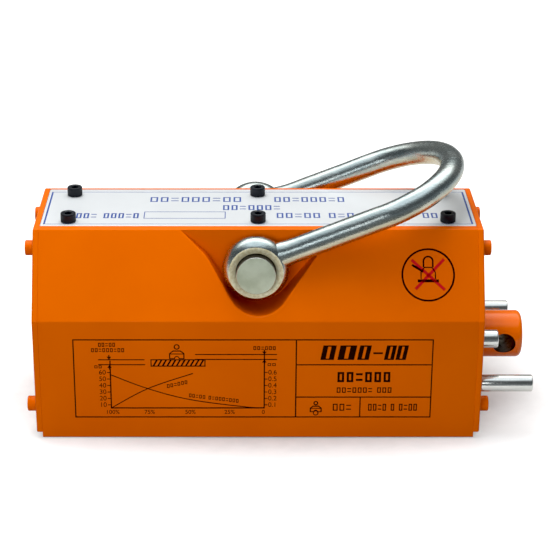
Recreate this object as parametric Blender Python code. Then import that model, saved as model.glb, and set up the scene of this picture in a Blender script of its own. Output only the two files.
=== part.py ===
"""Permanent lifting magnet with a swinging shackle, as the separate pieces it is assembled from.

Lengths are in millimetres, and MM turns them into metres when a mesh is made. X runs along the
magnet towards the lever hub, Y from front to back and Z up from the pole faces. Shapes are laid
out about the middle of the magnet's body, and the empty "lifter" then shifts everything so that
the origin is the bottom centre of the whole object's box.
"""
import math

import bmesh
import bpy
from mathutils import Vector

MM = 0.001
GAP = 0.3                    # clearance between neighbouring pieces

# Body: two steel poles side by side, closed by a plate at each end.
HALF_LENGTH = 184.0          # poles, from the middle to an end
HALF_WIDTH = 88.0
TOP_HALF_WIDTH = 50.4
RIDGE_HEIGHT = 108.6         # where the upright sides turn into the sloping ones
BODY_HEIGHT = 176.7
EDGE_RADIUS = 1.6
GROOVE_HALF_WIDTH = 32.0     # V-groove along the underside, for round stock
GROOVE_HEIGHT = 14.0
COVER_THICKNESS = 4.7
COVER_LIFT = 5.0             # the covers end above the pole faces
NOTCH_PLAY = 1.6             # by which their notch is wider than the groove
COVER_FACE = HALF_LENGTH + GAP + COVER_THICKNESS

# Magnet slot, label recess and bottom spacer.
SLOT_HALF_WIDTH = 15.3
SHOULDER_HALF_WIDTH = 11.3
SHOULDER_HEIGHT = 96.0
SPACER_HALF_WIDTH = 13.0
LABEL_THICKNESS = 1.5
LABEL_EDGE = {-1: 42.5, 1: 46.5}     # from the middle to its front and rear edges
LABEL_FLOOR = BODY_HEIGHT - LABEL_THICKNESS - 0.2
CENTRE_HALF_LENGTH = 24.0    # block between the magnets, which carries the shackle pin
MAGNETS_PER_SIDE = 3

# Rotor and its two deep-groove bearings.
ROTOR_HEIGHT = 58.0
ROTOR_BORE = 36.0
ROTOR_RADIUS = 35.4
ROTOR_HALF_LENGTH = 155.0
ROTOR_MAGNET_HALF = 13.0
ROTOR_MAGNETS = 3
FLANGE_RADIUS = 35.0
FLANGE_THICKNESS = 6.0
SHOULDER_RADIUS = 22.5
SHAFT_RADIUS = 17.5
BEARING_WIDTH = 17.0
BEARING_START = HALF_LENGTH - BEARING_WIDTH - 0.5
BALL_RADIUS = 5.5
BALL_CIRCLE = 26.75
BALLS = 9
RACE_RADIUS = BALL_RADIUS + 0.4
OUTER_LAND = 31.2
INNER_LAND = 22.3
CAGE_HALF_WIDTH = 3.0
CAGE_HALF_HEIGHT = 1.9

# Lever hub with its cross hole, and the pins that stop and catch the lever.
HUB_RADIUS = 20.7
HUB_END = 233.0
HUB_EDGE = 4.5
LEVER_PLACE = 216.5
LEVER_HOLE = 9.3
STOP_PIN = {"radius": 7.2, "end": 232.9, "y": 78.5, "z": 47.5}
CATCH_PIN = {"radius": 7.6, "end": 204.0, "y": -62.0, "z": 81.3}
PIN_DEPTH = 26.0
PIN_EDGE = 1.0

# Shackle, its pin and the recesses that its eyes sit in.
SHACKLE_LEAN = 21.8          # degrees above level
SHACKLE_PLACE = -1.9         # pin axis, along the magnet
SHACKLE_HEIGHT = 147.0
SHACKLE_PIN = 16.4
SHACKLE_PIN_ENDS = (-81.0, 84.0)
SHACKLE_SHIFT = 2.7          # the shackle stands this far towards the rear on its pin
EYE_HOLE = SHACKLE_PIN + 0.45
EYE_PLACE = 66.6             # from the shackle's own middle
EYE_HALF_WIDTH = 10.8
EYE_RIM = 28.2
EYE_SHOULDER = 23.3          # radius where the rounded rim meets the flat face
ROD_RADIUS = 10.3
BOW_STRAIGHT = 115.2         # pin axis to the centre of the bow
BOW_RADIUS = 66.6
BOW_LIFT = 3.3               # the rod's centre line passes above the pin axis
BOW_ROOT = 20.0
RECESS_TOP = BODY_HEIGHT + 20.0
RECESS_SIDES = (-87.5, 80.2)         # where its walls reach that height
RECESS_KNEE = (-42.5, 156.0)         # the left wall opens out above this corner
RECESS_FOOT = (-2.6, 91.8)           # where the walls would meet, under the round bottom
RECESS_KNEE_RADIUS = 40.0
RECESS_RADIUS = 28.3

# Screws: head and shank radius, head height, socket across flats.
SCREW_M8 = {"head": 6.5, "shank": 3.9, "height": 7.7, "flats": 6.0, "sides": 12}
SCREW_M6 = {"head": 5.0, "shank": 2.9, "height": 4.0, "flats": 4.0, "sides": 12}
SCREW_HOLE_PLAY = 0.4
LABEL_SCREW_X = (-160.5, 0.0, 160.5)
LABEL_SCREW_Y = 32.0
LABEL_SCREW_LENGTH = 10.5
COVER_SCREW_YZ = ((40.0, 156.0), (74.0, 26.0))
COVER_SCREW_LENGTH = 16.0
FLANGE_SCREW_YZ = (25.0, 14.7)
FLANGE_SCREW_LENGTH = 19.0

MIDDLE_X = -(HUB_END - (COVER_FACE + GAP + SCREW_M8["height"])) / 2

COLOURS = {
    # slot: (red, green, blue), roughness, metallic
    "orange_paint": ((0.71, 0.12, 0.003), 0.38, 0.0),
    "bare_steel": ((0.50, 0.50, 0.49), 0.35, 1.0),
    "zinc": ((0.62, 0.64, 0.62), 0.28, 1.0),
    "black_oxide": ((0.015, 0.017, 0.02), 0.4, 0.6),
    "label_white": ((0.80, 0.83, 0.85), 0.3, 0.0),
    "magnet_nickel": ((0.66, 0.63, 0.58), 0.2, 1.0),
    "brass": ((0.70, 0.50, 0.20), 0.3, 1.0),
    "bearing_steel": ((0.58, 0.58, 0.60), 0.15, 1.0),
}


def clear_scene():
    for item in list(bpy.data.objects):
        bpy.data.objects.remove(item, do_unlink=True)


def paint(slot):
    """One material for each finish, shared by the pieces that have it."""
    material = bpy.data.materials.get(slot)
    if material is None:
        colour, roughness, metallic = COLOURS[slot]
        material = bpy.data.materials.new(slot)
        material.use_nodes = True
        shader = material.node_tree.nodes["Principled BSDF"]
        shader.inputs["Base Color"].default_value = (*colour, 1.0)
        shader.inputs["Roughness"].default_value = roughness
        shader.inputs["Metallic"].default_value = metallic
    return material


# Outlines, as lists of (first, second) coordinates in a plane.

def arc(centre, radius, start, end, steps):
    """Points on a circle from one angle to another, in degrees, ends included."""
    turns = [math.radians(start + (end - start) * step / steps) for step in range(steps + 1)]
    return [(centre[0] + radius * math.cos(t), centre[1] + radius * math.sin(t)) for t in turns]


def soften(corners, radii, steps=3):
    """Round each corner of an outline with an arc that touches both its sides."""
    points = []
    for index, (corner, radius) in enumerate(zip(corners, radii)):
        if not radius:
            points.append(corner)
            continue
        here = Vector(corner)
        before = (Vector(corners[index - 1]) - here).normalized()
        after = (Vector(corners[(index + 1) % len(corners)]) - here).normalized()
        half = before.angle(after) / 2
        centre = here + (before + after).normalized() * (radius / math.sin(half))
        first = here + before * (radius / math.tan(half)) - centre
        last = here + after * (radius / math.tan(half)) - centre
        for step in range(steps + 1):
            spoke = first.lerp(last, step / steps).normalized() * radius
            points.append(tuple(centre + spoke))
    return points


def groove_height(y):
    return GROOVE_HEIGHT * (1 - abs(y) / GROOVE_HALF_WIDTH)


def pole_outline(side):
    """Cross-section of one pole, in Y and Z; side is -1 for the front pole and 1 for the rear."""
    slope = math.atan2(BODY_HEIGHT - RIDGE_HEIGHT, HALF_WIDTH - TOP_HALF_WIDTH)
    top_round = EDGE_RADIUS / math.tan((math.pi - slope) / 2)
    outline = [(GROOVE_HALF_WIDTH, 0.0)]
    outline += arc((HALF_WIDTH - EDGE_RADIUS, EDGE_RADIUS), EDGE_RADIUS, -90, 0, 3)
    outline += [(HALF_WIDTH, RIDGE_HEIGHT)]
    outline += arc((TOP_HALF_WIDTH - top_round, BODY_HEIGHT - EDGE_RADIUS), EDGE_RADIUS,
                   90 - math.degrees(slope), 90, 3)
    label = LABEL_EDGE[side] + GAP
    outline += [(label, BODY_HEIGHT), (label, LABEL_FLOOR)]
    outline += [(SLOT_HALF_WIDTH, LABEL_FLOOR), (SLOT_HALF_WIDTH, SHOULDER_HEIGHT)]
    outline += [(SHOULDER_HALF_WIDTH, SHOULDER_HEIGHT)]
    upper = math.degrees(math.acos(SHOULDER_HALF_WIDTH / ROTOR_BORE))
    lower = -math.degrees(math.acos(SPACER_HALF_WIDTH / ROTOR_BORE))
    outline += arc((0.0, ROTOR_HEIGHT), ROTOR_BORE, upper, lower, 22)
    outline += [(SPACER_HALF_WIDTH, groove_height(SPACER_HALF_WIDTH))]
    return [(side * y, z) for y, z in outline]


def spacer_outline():
    """Cross-section of the strip that closes the gap between the poles, over the groove."""
    half = SPACER_HALF_WIDTH - GAP
    swing = math.degrees(math.asin(half / ROTOR_BORE))
    top = arc((0.0, ROTOR_HEIGHT), ROTOR_BORE, -90 - swing, -90 + swing, 6)
    return top + [(half, groove_height(half)), (0.0, GROOVE_HEIGHT), (-half, groove_height(half))]


def cover_outline():
    """The body's own outline, raised off the pole faces and notched over the groove."""
    corners = [(HALF_WIDTH, COVER_LIFT), (HALF_WIDTH, RIDGE_HEIGHT), (TOP_HALF_WIDTH, BODY_HEIGHT),
               (-TOP_HALF_WIDTH, BODY_HEIGHT), (-HALF_WIDTH, RIDGE_HEIGHT), (-HALF_WIDTH, COVER_LIFT)]
    notch = GROOVE_HALF_WIDTH * (1 - COVER_LIFT / GROOVE_HEIGHT) + NOTCH_PLAY
    peak = GROOVE_HEIGHT + NOTCH_PLAY / 2
    return soften(corners, [EDGE_RADIUS] * 6) + [(-notch, COVER_LIFT), (0.0, peak), (notch, COVER_LIFT)]


def recess_outline():
    """The V with a round bottom, in X and Z, that each shackle eye sits in."""
    left, right = RECESS_SIDES
    corners = [(right, RECESS_TOP), (left, RECESS_TOP), RECESS_KNEE, RECESS_FOOT]
    return soften(corners, [0.0, 0.0, RECESS_KNEE_RADIUS, RECESS_RADIUS], 14)


def rotor_pole_outline(side):
    """A D-shaped segment of the rotor, beside its magnets."""
    flat = ROTOR_MAGNET_HALF + GAP
    swing = math.degrees(math.acos(flat / ROTOR_RADIUS))
    return [(side * y, z) for y, z in arc((0.0, ROTOR_HEIGHT), ROTOR_RADIUS, -swing, swing, 20)]


# Solids, as bmeshes in millimetres.

AXES = {
    "X": lambda along, first, second: Vector((along, first, second)),
    "Y": lambda along, first, second: Vector((first, along, second)),
    "Z": lambda along, first, second: Vector((first, second, along)),
}


def prism(outline, low, high, axis, shape=None):
    """Extrude a closed outline along an axis; adds to shape when one is given."""
    shape = shape or bmesh.new()
    place = AXES[axis]
    face = shape.faces.new([shape.verts.new(place(low, *point)) for point in outline])
    extruded = bmesh.ops.extrude_face_region(shape, geom=[face])["geom"]
    verts = [item for item in extruded if isinstance(item, bmesh.types.BMVert)]
    bmesh.ops.translate(shape, verts=verts, vec=place(high - low, 0.0, 0.0))
    bmesh.ops.recalc_face_normals(shape, faces=shape.faces)
    return shape


def block(low, high):
    """A box between two corners."""
    outline = [(low[0], low[1]), (high[0], low[1]), (high[0], high[1]), (low[0], high[1])]
    return prism(outline, low[2], high[2], "Z")


def turned(rings, axis, centre, sides, loop=False, shape=None):
    """Skin a row of rings about an axis: (place, radius), or (place, half width, flats).

    The ends are closed by flat faces, or joined to each other when loop is set.
    """
    shape = shape or bmesh.new()
    place = AXES[axis]
    rows = []
    for ring in rings:
        along, size = ring[0], ring[1]
        row = []
        for index in range(sides):
            angle = 2 * math.pi * index / sides
            radius = size
            if len(ring) == 3:
                pitch = 2 * math.pi / ring[2]
                radius = size / math.cos((angle + pitch / 2) % pitch - pitch / 2)
            spot = (centre[0] + radius * math.cos(angle), centre[1] + radius * math.sin(angle))
            row.append(shape.verts.new(place(along, *spot)))
        rows.append(row)
    pairs = list(zip(rows, rows[1:]))
    if loop:
        pairs.append((rows[-1], rows[0]))
    else:
        shape.faces.new(rows[0])
        shape.faces.new(rows[-1])
    for low, high in pairs:
        for index in range(sides):
            after = (index + 1) % sides
            shape.faces.new((low[index], low[after], high[after], high[index]))
    bmesh.ops.recalc_face_normals(shape, faces=shape.faces)
    return shape


def cylinder(axis, centre, radius, low, high, sides=16, shape=None):
    return turned([(low, radius), (high, radius)], axis, centre, sides, shape=shape)


def cap_screw(size, length, axis, centre, seat, way):
    """A socket-head cap screw whose head stands on seat; way is the side the head is on."""
    head, shank, flats = size["head"], size["shank"], size["flats"]
    top = size["height"]
    chamfer = 0.1 * head
    rings = [(-length, shank - 0.6), (0.6 - length, shank), (0.0, shank), (0.0, head),
             (top - chamfer, head), (top, head - chamfer), (top, flats / 2, 6),
             (top / 2, flats / 2, 6)]
    placed = [(seat + way * ring[0], *ring[1:]) for ring in rings]
    return turned(placed, axis, centre, size["sides"])


def race(land, way):
    """Inner profile of a bearing ring: its flat land with the groove that the balls run in."""
    middle = BEARING_START + BEARING_WIDTH / 2
    depth = abs(land - BALL_CIRCLE)
    half = math.sqrt(RACE_RADIUS ** 2 - depth ** 2)
    points = [(BEARING_START, land)]
    for step in range(5):
        offset = half * (step / 2 - 1)
        points.append((middle + offset, BALL_CIRCLE + way * math.sqrt(RACE_RADIUS ** 2 - offset ** 2)))
    return points + [(BEARING_START + BEARING_WIDTH, land)]


def mirrored(rings, side):
    return [(side * ring[0], *ring[1:]) for ring in rings]


# Objects.

def make(name, shape, slot, pivot=(0.0, 0.0, 0.0)):
    """Turn a bmesh into a named object under the empty, with its origin at the pivot."""
    bmesh.ops.translate(shape, verts=shape.verts, vec=-Vector(pivot))
    bmesh.ops.scale(shape, verts=shape.verts, vec=(MM, MM, MM))
    mesh = bpy.data.meshes.new(name)
    shape.to_mesh(mesh)
    shape.free()
    mesh.materials.append(paint(slot))
    mesh.shade_smooth()
    mesh.set_sharp_from_angle(angle=math.radians(35))
    item = bpy.data.objects.new(name, mesh)
    bpy.context.scene.collection.objects.link(item)
    item.location = Vector(pivot) * MM
    item.parent = bpy.data.objects["lifter"]
    return item


def tool(name, shape, pivot=(0.0, 0.0, 0.0)):
    """A solid that only cuts or joins another, and is not a piece itself."""
    item = make(name, shape, "bare_steel", pivot)
    item.hide_render = True
    item.display_type = "WIRE"
    return item


def combine(item, other, operation="DIFFERENCE"):
    modifier = item.modifiers.new(other.name, "BOOLEAN")
    modifier.operation = operation
    modifier.solver = "EXACT"
    modifier.object = other


def bevel(item, width):
    modifier = item.modifiers.new("edges", "BEVEL")
    modifier.width = width * MM
    modifier.segments = 2
    modifier.limit_method = "ANGLE"
    modifier.angle_limit = math.radians(50)


def corners_of(points):
    """Each (y, z) pair on both sides of the middle plane."""
    return [(side * y, z) for y, z in points for side in (-1, 1)]


def fastener_holes():
    """One cutter for every screw and pin hole in the body, its covers and its label."""
    shape = bmesh.new()
    radius = SCREW_M8["shank"] + SCREW_HOLE_PLAY
    for x in LABEL_SCREW_X:
        for y in (-LABEL_SCREW_Y, LABEL_SCREW_Y):
            deep = BODY_HEIGHT - LABEL_SCREW_LENGTH - 1.0
            cylinder("Z", (x, y), radius, deep, BODY_HEIGHT + 5.0, 12, shape)
    for side in (-1, 1):
        for place in corners_of(COVER_SCREW_YZ):
            ends = sorted((side * (COVER_FACE + 5.0), side * (COVER_FACE - COVER_SCREW_LENGTH - 1.0)))
            cylinder("X", place, radius, *ends, 12, shape)
    for pin, y in ((STOP_PIN, STOP_PIN["y"]), (STOP_PIN, -STOP_PIN["y"]), (CATCH_PIN, CATCH_PIN["y"])):
        inner = COVER_FACE - PIN_DEPTH - 1.0
        cylinder("X", (y, pin["z"]), pin["radius"] + GAP, inner, COVER_FACE + 5.0, 18, shape)
    return tool("cut_fastener_holes", shape)


def build_body():
    holes = fastener_holes()
    pin_axis = (SHACKLE_PLACE, SHACKLE_HEIGHT)
    pin_hole = tool("cut_pin_hole", cylinder("Y", pin_axis, EYE_HOLE, -95.0, 95.0, 32))
    recess = bmesh.new()
    for side in (-1, 1):
        ends = sorted((side * TOP_HALF_WIDTH, side * (HALF_WIDTH + 12.0)))
        prism(recess_outline(), *ends, "Y", recess)
    recesses = tool("cut_recesses", recess)
    for name, side in (("front_pole", -1), ("rear_pole", 1)):
        pole = make(name, prism(pole_outline(side), -HALF_LENGTH, HALF_LENGTH, "X"), "orange_paint")
        for cutter in (recesses, pin_hole, holes):
            combine(pole, cutter)
    make("bottom_spacer", prism(spacer_outline(), -HALF_LENGTH, HALF_LENGTH, "X"), "brass")

    width = SLOT_HALF_WIDTH - GAP
    floor, ceiling = SHOULDER_HEIGHT + GAP, LABEL_FLOOR - GAP
    half = CENTRE_HALF_LENGTH - GAP
    centre = make("centre_block", block((-half, -width, floor), (half, width, ceiling)), "brass")
    combine(centre, pin_hole)
    grub_place = (SHACKLE_PLACE, 0.0)
    grub_hole = cylinder("Z", grub_place, 4.3, SHACKLE_HEIGHT, BODY_HEIGHT + 5.0, 12)
    combine(centre, tool("cut_grub_hole", grub_hole))
    grub_low = SHACKLE_HEIGHT + SHACKLE_PIN + 0.5
    grub = [(grub_low, 3.0), (grub_low + 1.0, 3.9), (ceiling - 1.0, 3.9), (ceiling - 1.0, 2.0, 6),
            (ceiling - 5.0, 2.0, 6)]
    make("pin_grub_screw", turned(grub, "Z", grub_place, 12), "black_oxide")

    pitch = (HALF_LENGTH - CENTRE_HALF_LENGTH) / MAGNETS_PER_SIDE
    for number in range(MAGNETS_PER_SIDE * 2):
        side = -1 if number < MAGNETS_PER_SIDE else 1
        start = side * CENTRE_HALF_LENGTH + side * pitch * (number % MAGNETS_PER_SIDE)
        low, high = sorted((start, start + side * pitch))
        solid = block((low + GAP, -width, floor), (high - GAP, width, ceiling - 3.0))
        make(f"stator_magnet_{number + 1}", solid, "magnet_nickel")

    long = HALF_LENGTH - GAP
    low = LABEL_FLOOR + GAP
    label = block((-long, -LABEL_EDGE[-1], low), (long, LABEL_EDGE[1], low + LABEL_THICKNESS))
    label_plate = make("label_plate", label, "label_white")
    combine(label_plate, holes)
    seat = low + LABEL_THICKNESS + GAP
    number = 0
    for y in (-LABEL_SCREW_Y, LABEL_SCREW_Y):
        for x in LABEL_SCREW_X:
            number += 1
            solid = cap_screw(SCREW_M8, LABEL_SCREW_LENGTH, "Z", (x, y), seat, 1)
            make(f"label_screw_{number}", solid, "black_oxide", (x, y, seat))


def build_covers():
    holes = bpy.data.objects["cut_fastener_holes"]
    shaft = cylinder("X", (0.0, ROTOR_HEIGHT), SHAFT_RADIUS + 0.8, HALF_LENGTH - 20.0, COVER_FACE + 5.0, 40)
    shaft_hole = tool("cut_shaft_hole", shaft)
    number = 0
    for name, side in (("left_cover", -1), ("right_cover", 1)):
        ends = sorted((side * (HALF_LENGTH + GAP), side * COVER_FACE))
        cover = make(name, prism(cover_outline(), *ends, "X"), "orange_paint")
        bevel(cover, 0.8)
        combine(cover, holes)
        if side == 1:
            combine(cover, shaft_hole)
        for place in corners_of(COVER_SCREW_YZ):
            number += 1
            seat = side * (COVER_FACE + GAP)
            solid = cap_screw(SCREW_M8, COVER_SCREW_LENGTH, "X", place, seat, side)
            make(f"cover_screw_{number}", solid, "orange_paint", (seat, *place))


def build_pins():
    start = COVER_FACE - PIN_DEPTH
    for name, pin, y in (("front_stop_pin", STOP_PIN, -STOP_PIN["y"]),
                         ("rear_stop_pin", STOP_PIN, STOP_PIN["y"]),
                         ("catch_pin", CATCH_PIN, CATCH_PIN["y"])):
        radius, end = pin["radius"], pin["end"]
        rings = [(start, radius - PIN_EDGE), (start + PIN_EDGE, radius), (end - PIN_EDGE, radius),
                 (end, radius - PIN_EDGE)]
        make(name, turned(rings, "X", (y, pin["z"]), 24), "zinc")
    front, rear = SHACKLE_PIN_ENDS
    rings = [(front, SHACKLE_PIN - PIN_EDGE), (front + PIN_EDGE, SHACKLE_PIN),
             (rear - PIN_EDGE, SHACKLE_PIN), (rear, SHACKLE_PIN - PIN_EDGE)]
    make("shackle_pin", turned(rings, "Y", (SHACKLE_PLACE, SHACKLE_HEIGHT), 40), "zinc",
         (SHACKLE_PLACE, 0.0, SHACKLE_HEIGHT))


def build_rotor():
    axis = (0.0, ROTOR_HEIGHT)
    pivot = (0.0, 0.0, ROTOR_HEIGHT)
    flange_face = ROTOR_HALF_LENGTH + GAP + FLANGE_THICKNESS
    y, rise = FLANGE_SCREW_YZ
    places = [(side * y, ROTOR_HEIGHT + lift) for side in (-1, 1) for lift in (-rise, rise)]
    drilled = bmesh.new()
    for side in (-1, 1):
        for place in places:
            ends = sorted((side * (flange_face + 5.0), side * (flange_face - FLANGE_SCREW_LENGTH - 1.0)))
            cylinder("X", place, SCREW_M6["shank"] + SCREW_HOLE_PLAY, *ends, 10, drilled)
    holes = tool("cut_flange_holes", drilled, pivot)

    for name, side in (("rotor_pole_front", -1), ("rotor_pole_rear", 1)):
        solid = prism(rotor_pole_outline(side), -ROTOR_HALF_LENGTH, ROTOR_HALF_LENGTH, "X")
        combine(make(name, solid, "bare_steel", pivot), holes)
    pitch = 2 * ROTOR_HALF_LENGTH / ROTOR_MAGNETS
    tall = math.sqrt(ROTOR_RADIUS ** 2 - ROTOR_MAGNET_HALF ** 2) - 2.0
    for number in range(ROTOR_MAGNETS):
        low = -ROTOR_HALF_LENGTH + pitch * number
        solid = block((low + GAP / 2, -ROTOR_MAGNET_HALF, ROTOR_HEIGHT - tall),
                      (low + pitch - GAP / 2, ROTOR_MAGNET_HALF, ROTOR_HEIGHT + tall))
        make(f"rotor_magnet_{number + 1}", solid, "magnet_nickel", pivot)

    start = ROTOR_HALF_LENGTH + GAP
    shoulder = BEARING_START - GAP
    stub = [(start, FLANGE_RADIUS), (flange_face, FLANGE_RADIUS), (flange_face, SHOULDER_RADIUS),
            (shoulder, SHOULDER_RADIUS), (shoulder, SHAFT_RADIUS)]
    left = turned(mirrored(stub + [(HALF_LENGTH - 1.0, SHAFT_RADIUS)], -1), "X", axis, 28)
    combine(make("idle_shaft", left, "bare_steel", pivot), holes)
    neck = COVER_FACE + GAP
    edge = [(HUB_END - HUB_EDGE + along, HUB_RADIUS - HUB_EDGE + rise)
            for along, rise in arc((0.0, 0.0), HUB_EDGE, 90, 0, 4)]
    hub = turned(stub + [(neck, SHAFT_RADIUS), (neck, HUB_RADIUS)] + edge, "X", axis, 36)
    lever_shaft = make("lever_shaft", hub, "orange_paint", pivot)
    lever_hole = cylinder("Y", (LEVER_PLACE, ROTOR_HEIGHT), LEVER_HOLE, -40.0, 40.0, 28)
    combine(lever_shaft, holes)
    combine(lever_shaft, tool("cut_lever_hole", lever_hole, pivot))

    number = 0
    for side in (-1, 1):
        for place in places:
            number += 1
            solid = cap_screw(SCREW_M6, FLANGE_SCREW_LENGTH, "X", place, side * (flange_face + GAP), side)
            make(f"flange_screw_{number}", solid, "black_oxide", pivot)


def build_bearings():
    axis = (0.0, ROTOR_HEIGHT)
    pivot = (0.0, 0.0, ROTOR_HEIGHT)
    middle = BEARING_START + BEARING_WIDTH / 2
    outside = ROTOR_BORE - GAP
    inside = SHAFT_RADIUS + GAP
    last = BEARING_START + BEARING_WIDTH
    outer = [(last, outside), (BEARING_START, outside)] + race(OUTER_LAND, 1)
    inner = [(last, inside), (BEARING_START, inside)] + race(INNER_LAND, -1)
    low, high = BALL_CIRCLE - CAGE_HALF_HEIGHT, BALL_CIRCLE + CAGE_HALF_HEIGHT
    left, right = middle - CAGE_HALF_WIDTH, middle + CAGE_HALF_WIDTH
    band = [(left, low), (left, high), (right, high), (right, low)]
    for name, side in (("left", -1), ("right", 1)):
        make(f"{name}_bearing_outer_ring", turned(mirrored(outer, side), "X", axis, 24, loop=True),
             "bearing_steel", pivot)
        make(f"{name}_bearing_inner_ring", turned(mirrored(inner, side), "X", axis, 24, loop=True),
             "bearing_steel", pivot)
        cage = make(f"{name}_ball_cage", turned(mirrored(band, side), "X", axis, 18, loop=True),
                    "bearing_steel", pivot)
        balls = bmesh.new()
        for number in range(BALLS):
            angle = 2 * math.pi * number / BALLS
            spot = (side * middle, BALL_CIRCLE * math.cos(angle),
                    ROTOR_HEIGHT + BALL_CIRCLE * math.sin(angle))
            made = bmesh.ops.create_uvsphere(balls, u_segments=8, v_segments=6, radius=BALL_RADIUS)
            bmesh.ops.translate(balls, verts=made["verts"], vec=spot)
        combine(cage, tool(f"join_{name}_balls", balls, pivot), "UNION")


def eye_profile():
    """Half section of an eye about the pin axis: flat faces and a rounded rim."""
    bulge = EYE_RIM - EYE_SHOULDER
    radius = (EYE_HALF_WIDTH ** 2 + bulge ** 2) / (2 * bulge)
    swing = math.degrees(math.asin(EYE_HALF_WIDTH / radius))
    rim = arc((0.0, EYE_RIM - radius), radius, 90 + swing, 90 - swing, 8)
    return [(-EYE_HALF_WIDTH, EYE_HOLE)] + rim + [(EYE_HALF_WIDTH, EYE_HOLE)]


def bow_path():
    """Centre line of the rod in the shackle's own plane: arm, half circle, arm."""
    bend = arc((BOW_STRAIGHT, 0.0), BOW_RADIUS, -90, 90, 20)
    return [(BOW_ROOT, -BOW_RADIUS)] + bend + [(BOW_ROOT, BOW_RADIUS)]


def rod(path, height, radius, sides):
    """Sweep a circle along a path that lies level at a height."""
    shape = bmesh.new()
    rows = []
    for index, point in enumerate(path):
        before = Vector(path[max(index - 1, 0)])
        after = Vector(path[min(index + 1, len(path) - 1)])
        along = (after - before).normalized()
        across = Vector((-along.y, along.x, 0.0))
        centre = Vector((*point, height))
        row = []
        for step in range(sides):
            angle = 2 * math.pi * step / sides
            offset = across * math.cos(angle) + Vector((0.0, 0.0, 1.0)) * math.sin(angle)
            row.append(shape.verts.new(centre + radius * offset))
        rows.append(row)
    shape.faces.new(rows[0])
    shape.faces.new(rows[-1])
    for low, high in zip(rows, rows[1:]):
        for step in range(sides):
            after = (step + 1) % sides
            shape.faces.new((low[step], low[after], high[after], high[step]))
    bmesh.ops.recalc_face_normals(shape, faces=shape.faces)
    return shape


def build_shackle():
    """Modelled lying level along X, then leaned about the pin axis."""
    shackle = make("shackle", rod(bow_path(), BOW_LIFT, ROD_RADIUS, 16), "zinc")
    tools = [shackle]
    for name, side in (("front", -1), ("rear", 1)):
        profile = [(side * EYE_PLACE + along, radius) for along, radius in eye_profile()]
        eye = tool(f"join_{name}_eye", turned(profile, "Y", (0.0, 0.0), 36, loop=True))
        combine(shackle, eye, "UNION")
        tools.append(eye)
    for item in tools:
        item.location = Vector((SHACKLE_PLACE, SHACKLE_SHIFT, SHACKLE_HEIGHT)) * MM
        item.rotation_euler.y = -math.radians(SHACKLE_LEAN)


def main():
    clear_scene()
    lifter = bpy.data.objects.new("lifter", None)
    bpy.context.scene.collection.objects.link(lifter)
    lifter.location.x = MIDDLE_X * MM
    build_body()
    build_covers()
    build_pins()
    build_rotor()
    build_bearings()
    build_shackle()


main()
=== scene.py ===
"""Looks of the permanent lifting magnet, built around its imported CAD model.

The frame is in metres. Shapes are laid out in millimetres about the middle of the magnet's body,
and piece() turns them into metres in the frame.
"""
import math

import bmesh
import bpy
from mathutils import Matrix, Vector, noise


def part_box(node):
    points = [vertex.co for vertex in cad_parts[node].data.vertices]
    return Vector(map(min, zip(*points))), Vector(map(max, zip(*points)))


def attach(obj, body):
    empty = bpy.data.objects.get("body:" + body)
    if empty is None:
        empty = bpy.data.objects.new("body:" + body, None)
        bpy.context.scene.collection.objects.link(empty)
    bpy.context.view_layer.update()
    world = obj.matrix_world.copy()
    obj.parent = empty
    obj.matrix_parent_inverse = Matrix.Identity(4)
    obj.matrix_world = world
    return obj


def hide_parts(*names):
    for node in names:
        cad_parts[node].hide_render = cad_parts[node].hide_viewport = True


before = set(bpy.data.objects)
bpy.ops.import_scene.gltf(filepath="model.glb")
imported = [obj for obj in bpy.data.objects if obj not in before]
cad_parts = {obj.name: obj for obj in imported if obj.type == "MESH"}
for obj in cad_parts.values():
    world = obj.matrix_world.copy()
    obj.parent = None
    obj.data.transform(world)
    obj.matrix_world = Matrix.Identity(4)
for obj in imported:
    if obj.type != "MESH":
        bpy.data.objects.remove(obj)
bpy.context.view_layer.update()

MM = 0.001
MIDDLE = (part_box("left_cover")[0].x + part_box("right_cover")[1].x) / 2


def span(node):
    """Lowest and highest corner of a CAD node, in millimetres about the middle of the body."""
    shift = Vector((MIDDLE, 0.0, 0.0))
    low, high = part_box(node)
    return (low - shift) / MM, (high - shift) / MM


POLE_LOW, POLE_HIGH = span("front_pole")
COVER_LOW, COVER_HIGH = span("right_cover")
LABEL_LOW, LABEL_HIGH = span("label_plate")
ROTOR_LOW, ROTOR_HIGH = span("lever_shaft")
PIN_LOW, PIN_HIGH = span("shackle_pin")

# Body.
HALF_LENGTH = POLE_HIGH.x
HALF_WIDTH = -POLE_LOW.y
BODY_HEIGHT = POLE_HIGH.z
TOP_HALF_WIDTH = 50.4
RIDGE_HEIGHT = 108.6
EDGE_RADIUS = 1.6
RIDGE_RADIUS = 3.0
GROOVE_HALF_WIDTH = 32.0
GROOVE_HEIGHT = 14.0
SLOT_HALF_WIDTH = 15.3
SHOULDER_HALF_WIDTH = 11.3
SHOULDER_HEIGHT = 96.0
SPACER_HALF_WIDTH = 13.0
LABEL_EDGE = {-1: -LABEL_LOW.y, 1: LABEL_HIGH.y}
LABEL_GAP = 0.3              # between the plate and its recess
LABEL_FLOOR = LABEL_LOW.z - LABEL_GAP
COVER_FACE = COVER_HIGH.x
COVER_LIFT = COVER_LOW.z
COVER_ROUND = 1.3            # rounding of the outer edge of a cover
NOTCH_HALF_WIDTH = GROOVE_HALF_WIDTH * (1 - COVER_LIFT / GROOVE_HEIGHT) + 1.6
NOTCH_PEAK = GROOVE_HEIGHT + 0.8
SEAM = 0.3                   # bevel on both sides of the joint between poles and covers

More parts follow.
